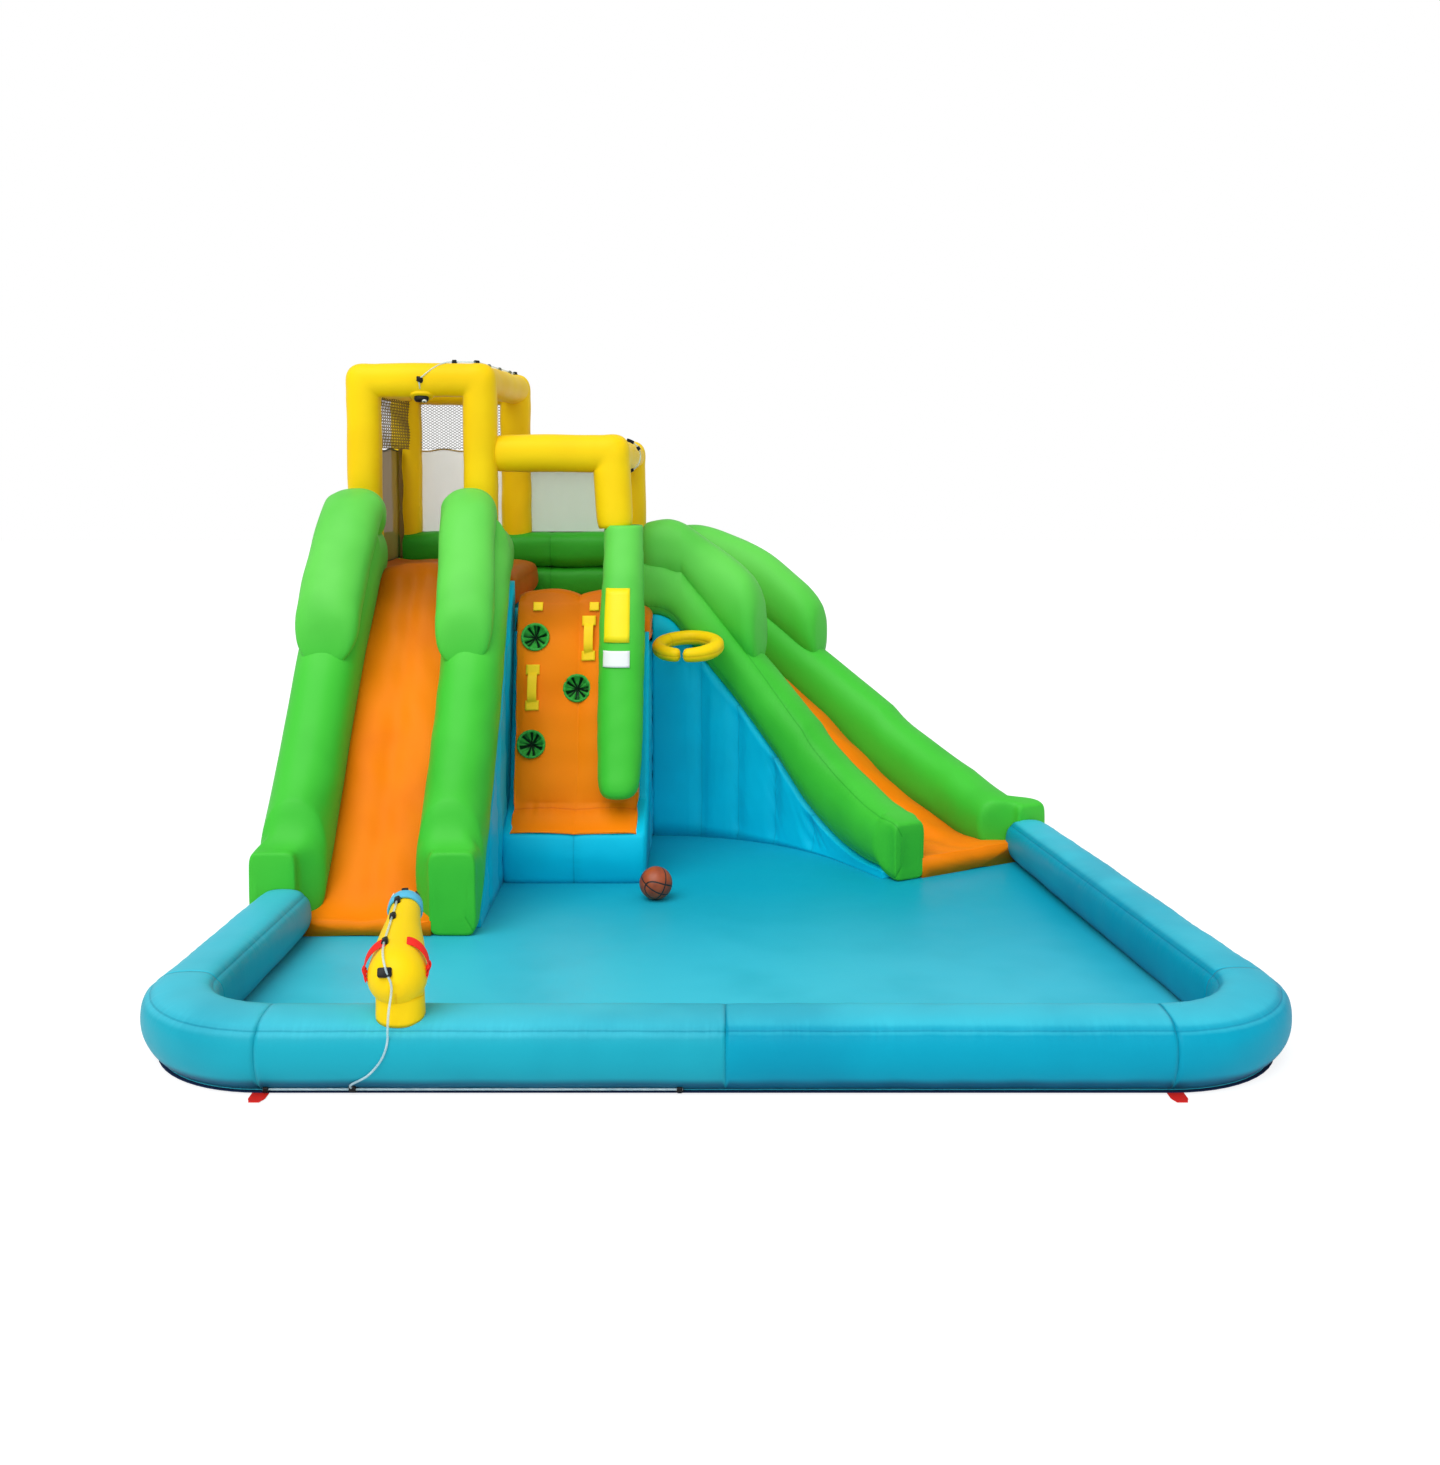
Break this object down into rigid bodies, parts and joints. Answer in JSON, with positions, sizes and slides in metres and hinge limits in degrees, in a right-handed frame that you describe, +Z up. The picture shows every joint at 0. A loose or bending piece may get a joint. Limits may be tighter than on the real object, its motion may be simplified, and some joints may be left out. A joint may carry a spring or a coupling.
{
  "type": "inflatable water slide",
  "caption": "Inflatable water park with a straight slide, a curved slide, a climbing wall, a towered deck, a splash pool and a water cannon.",
  "frame": {"origin": "on the ground at the middle of the footprint's bounding box", "axes": "+X to the viewer's right, +Y from the pool's front wall to the tower's back, +Z up"},
  "size_m": [3.9177, 4.4089, 2.4906],
  "materials": {
    "green_fabric": "soft sheen",
    "yellow_fabric": "soft sheen",
    "orange_fabric": "soft sheen",
    "pool_fabric": "soft sheen",
    "blue_fabric": "soft sheen",
    "ground_cloth": "matte",
    "white_cloth": "matte",
    "pale_green_cloth": "matte",
    "yellow_webbing": "woven",
    "red_webbing": "woven",
    "clear_hose": "clear",
    "black_plastic": "moulded",
    "ball_rubber": "pebbled"
  },
  "bodies": {
    "slide": {"left_slide_outer_rail": "green_fabric", "left_slide_outer_guard": "green_fabric", "left_slide_inner_rail": "green_fabric", "left_slide_inner_guard": "green_fabric", "right_slide_near_rail": "green_fabric", "right_slide_near_guard": "green_fabric", "right_slide_far_rail": "green_fabric", "right_slide_far_guard": "green_fabric", "climbing_guard": "green_fabric", "back_rail_lower": "green_fabric", "back_rail_upper": "green_fabric", "foothold_1": "green_fabric", "foothold_2": "green_fabric", "foothold_3": "green_fabric", "left_tower_front_frame": "yellow_fabric", "left_tower_rear_frame": "yellow_fabric", "left_tower_outer_side_bar": "yellow_fabric", "left_tower_inner_side_bar": "yellow_fabric", "right_tower_front_frame": "yellow_fabric", "right_tower_rear_frame": "yellow_fabric", "right_tower_side_bar": "yellow_fabric", "splash_hoop": "yellow_fabric", "left_slide_mat": "orange_fabric", "right_slide_mat": "orange_fabric", "climbing_wall": "orange_fabric", "high_deck": "orange_fabric", "low_deck": "orange_fabric", "pool_wall_left": "pool_fabric", "pool_corner_left": "pool_fabric", "pool_wall_front_left": "pool_fabric", "pool_wall_front_right": "pool_fabric", "pool_corner_right": "pool_fabric", "pool_wall_right": "pool_fabric", "pool_floor": "pool_fabric", "left_slide_body": "blue_fabric", "right_slide_body": "blue_fabric", "climbing_body": "blue_fabric", "tower_base": "blue_fabric", "tower_back_panel": "blue_fabric", "air_inlet_sleeve": "blue_fabric", "ground_sheet": "ground_cloth", "left_tower_rear_screen": "white_cloth", "left_tower_rear_net": "white_cloth", "right_tower_rear_screen": "pale_green_cloth", "climb_handle_1": "yellow_webbing", "climb_handle_2": "yellow_webbing", "anchor_tab_left": "red_webbing", "anchor_tab_right": "red_webbing", "supply_hose": "clear_hose", "cannon_hose_lower": "clear_hose", "tower_hose": "clear_hose", "deflation_zip": "black_plastic"},
    "cannon_stand": {"cannon_stand": "yellow_fabric"},
    "cannon_barrel": {"cannon_barrel": "yellow_fabric", "cannon_collar": "blue_fabric", "cannon_handle_left": "red_webbing", "cannon_handle_right": "red_webbing", "cannon_hose_upper": "clear_hose"},
    "zip_slider": {"zip_slider": "black_plastic"},
    "play_ball": {"play_ball": "ball_rubber"}
  },
  "joints": [
    {"name": "cannon_lean", "type": "hinge", "parent": "slide", "child": "cannon_stand", "pos_m": [-1.012, -2.04, 0.1376], "axis": [1, 0, 0], "range_deg": [-5, 5], "stiffness_Nm_per_rad": 4},
    {"name": "cannon_swivel", "type": "hinge", "parent": "cannon_stand", "child": "cannon_barrel", "pos_m": [-1.012, -2.095, 0.372], "axis": [0, 0, 1], "range_deg": [-20, 20], "stiffness_Nm_per_rad": 1},
    {"name": "zip_slide", "type": "slide", "parent": "slide", "child": "zip_slider", "axis": [1, 0, 0], "range_m": [0, 0.29]},
    {"name": "ball_roll", "type": "slide", "parent": "slide", "child": "play_ball", "axis": [0, -1, 0], "range_m": [0, 1.2]}
  ]
}
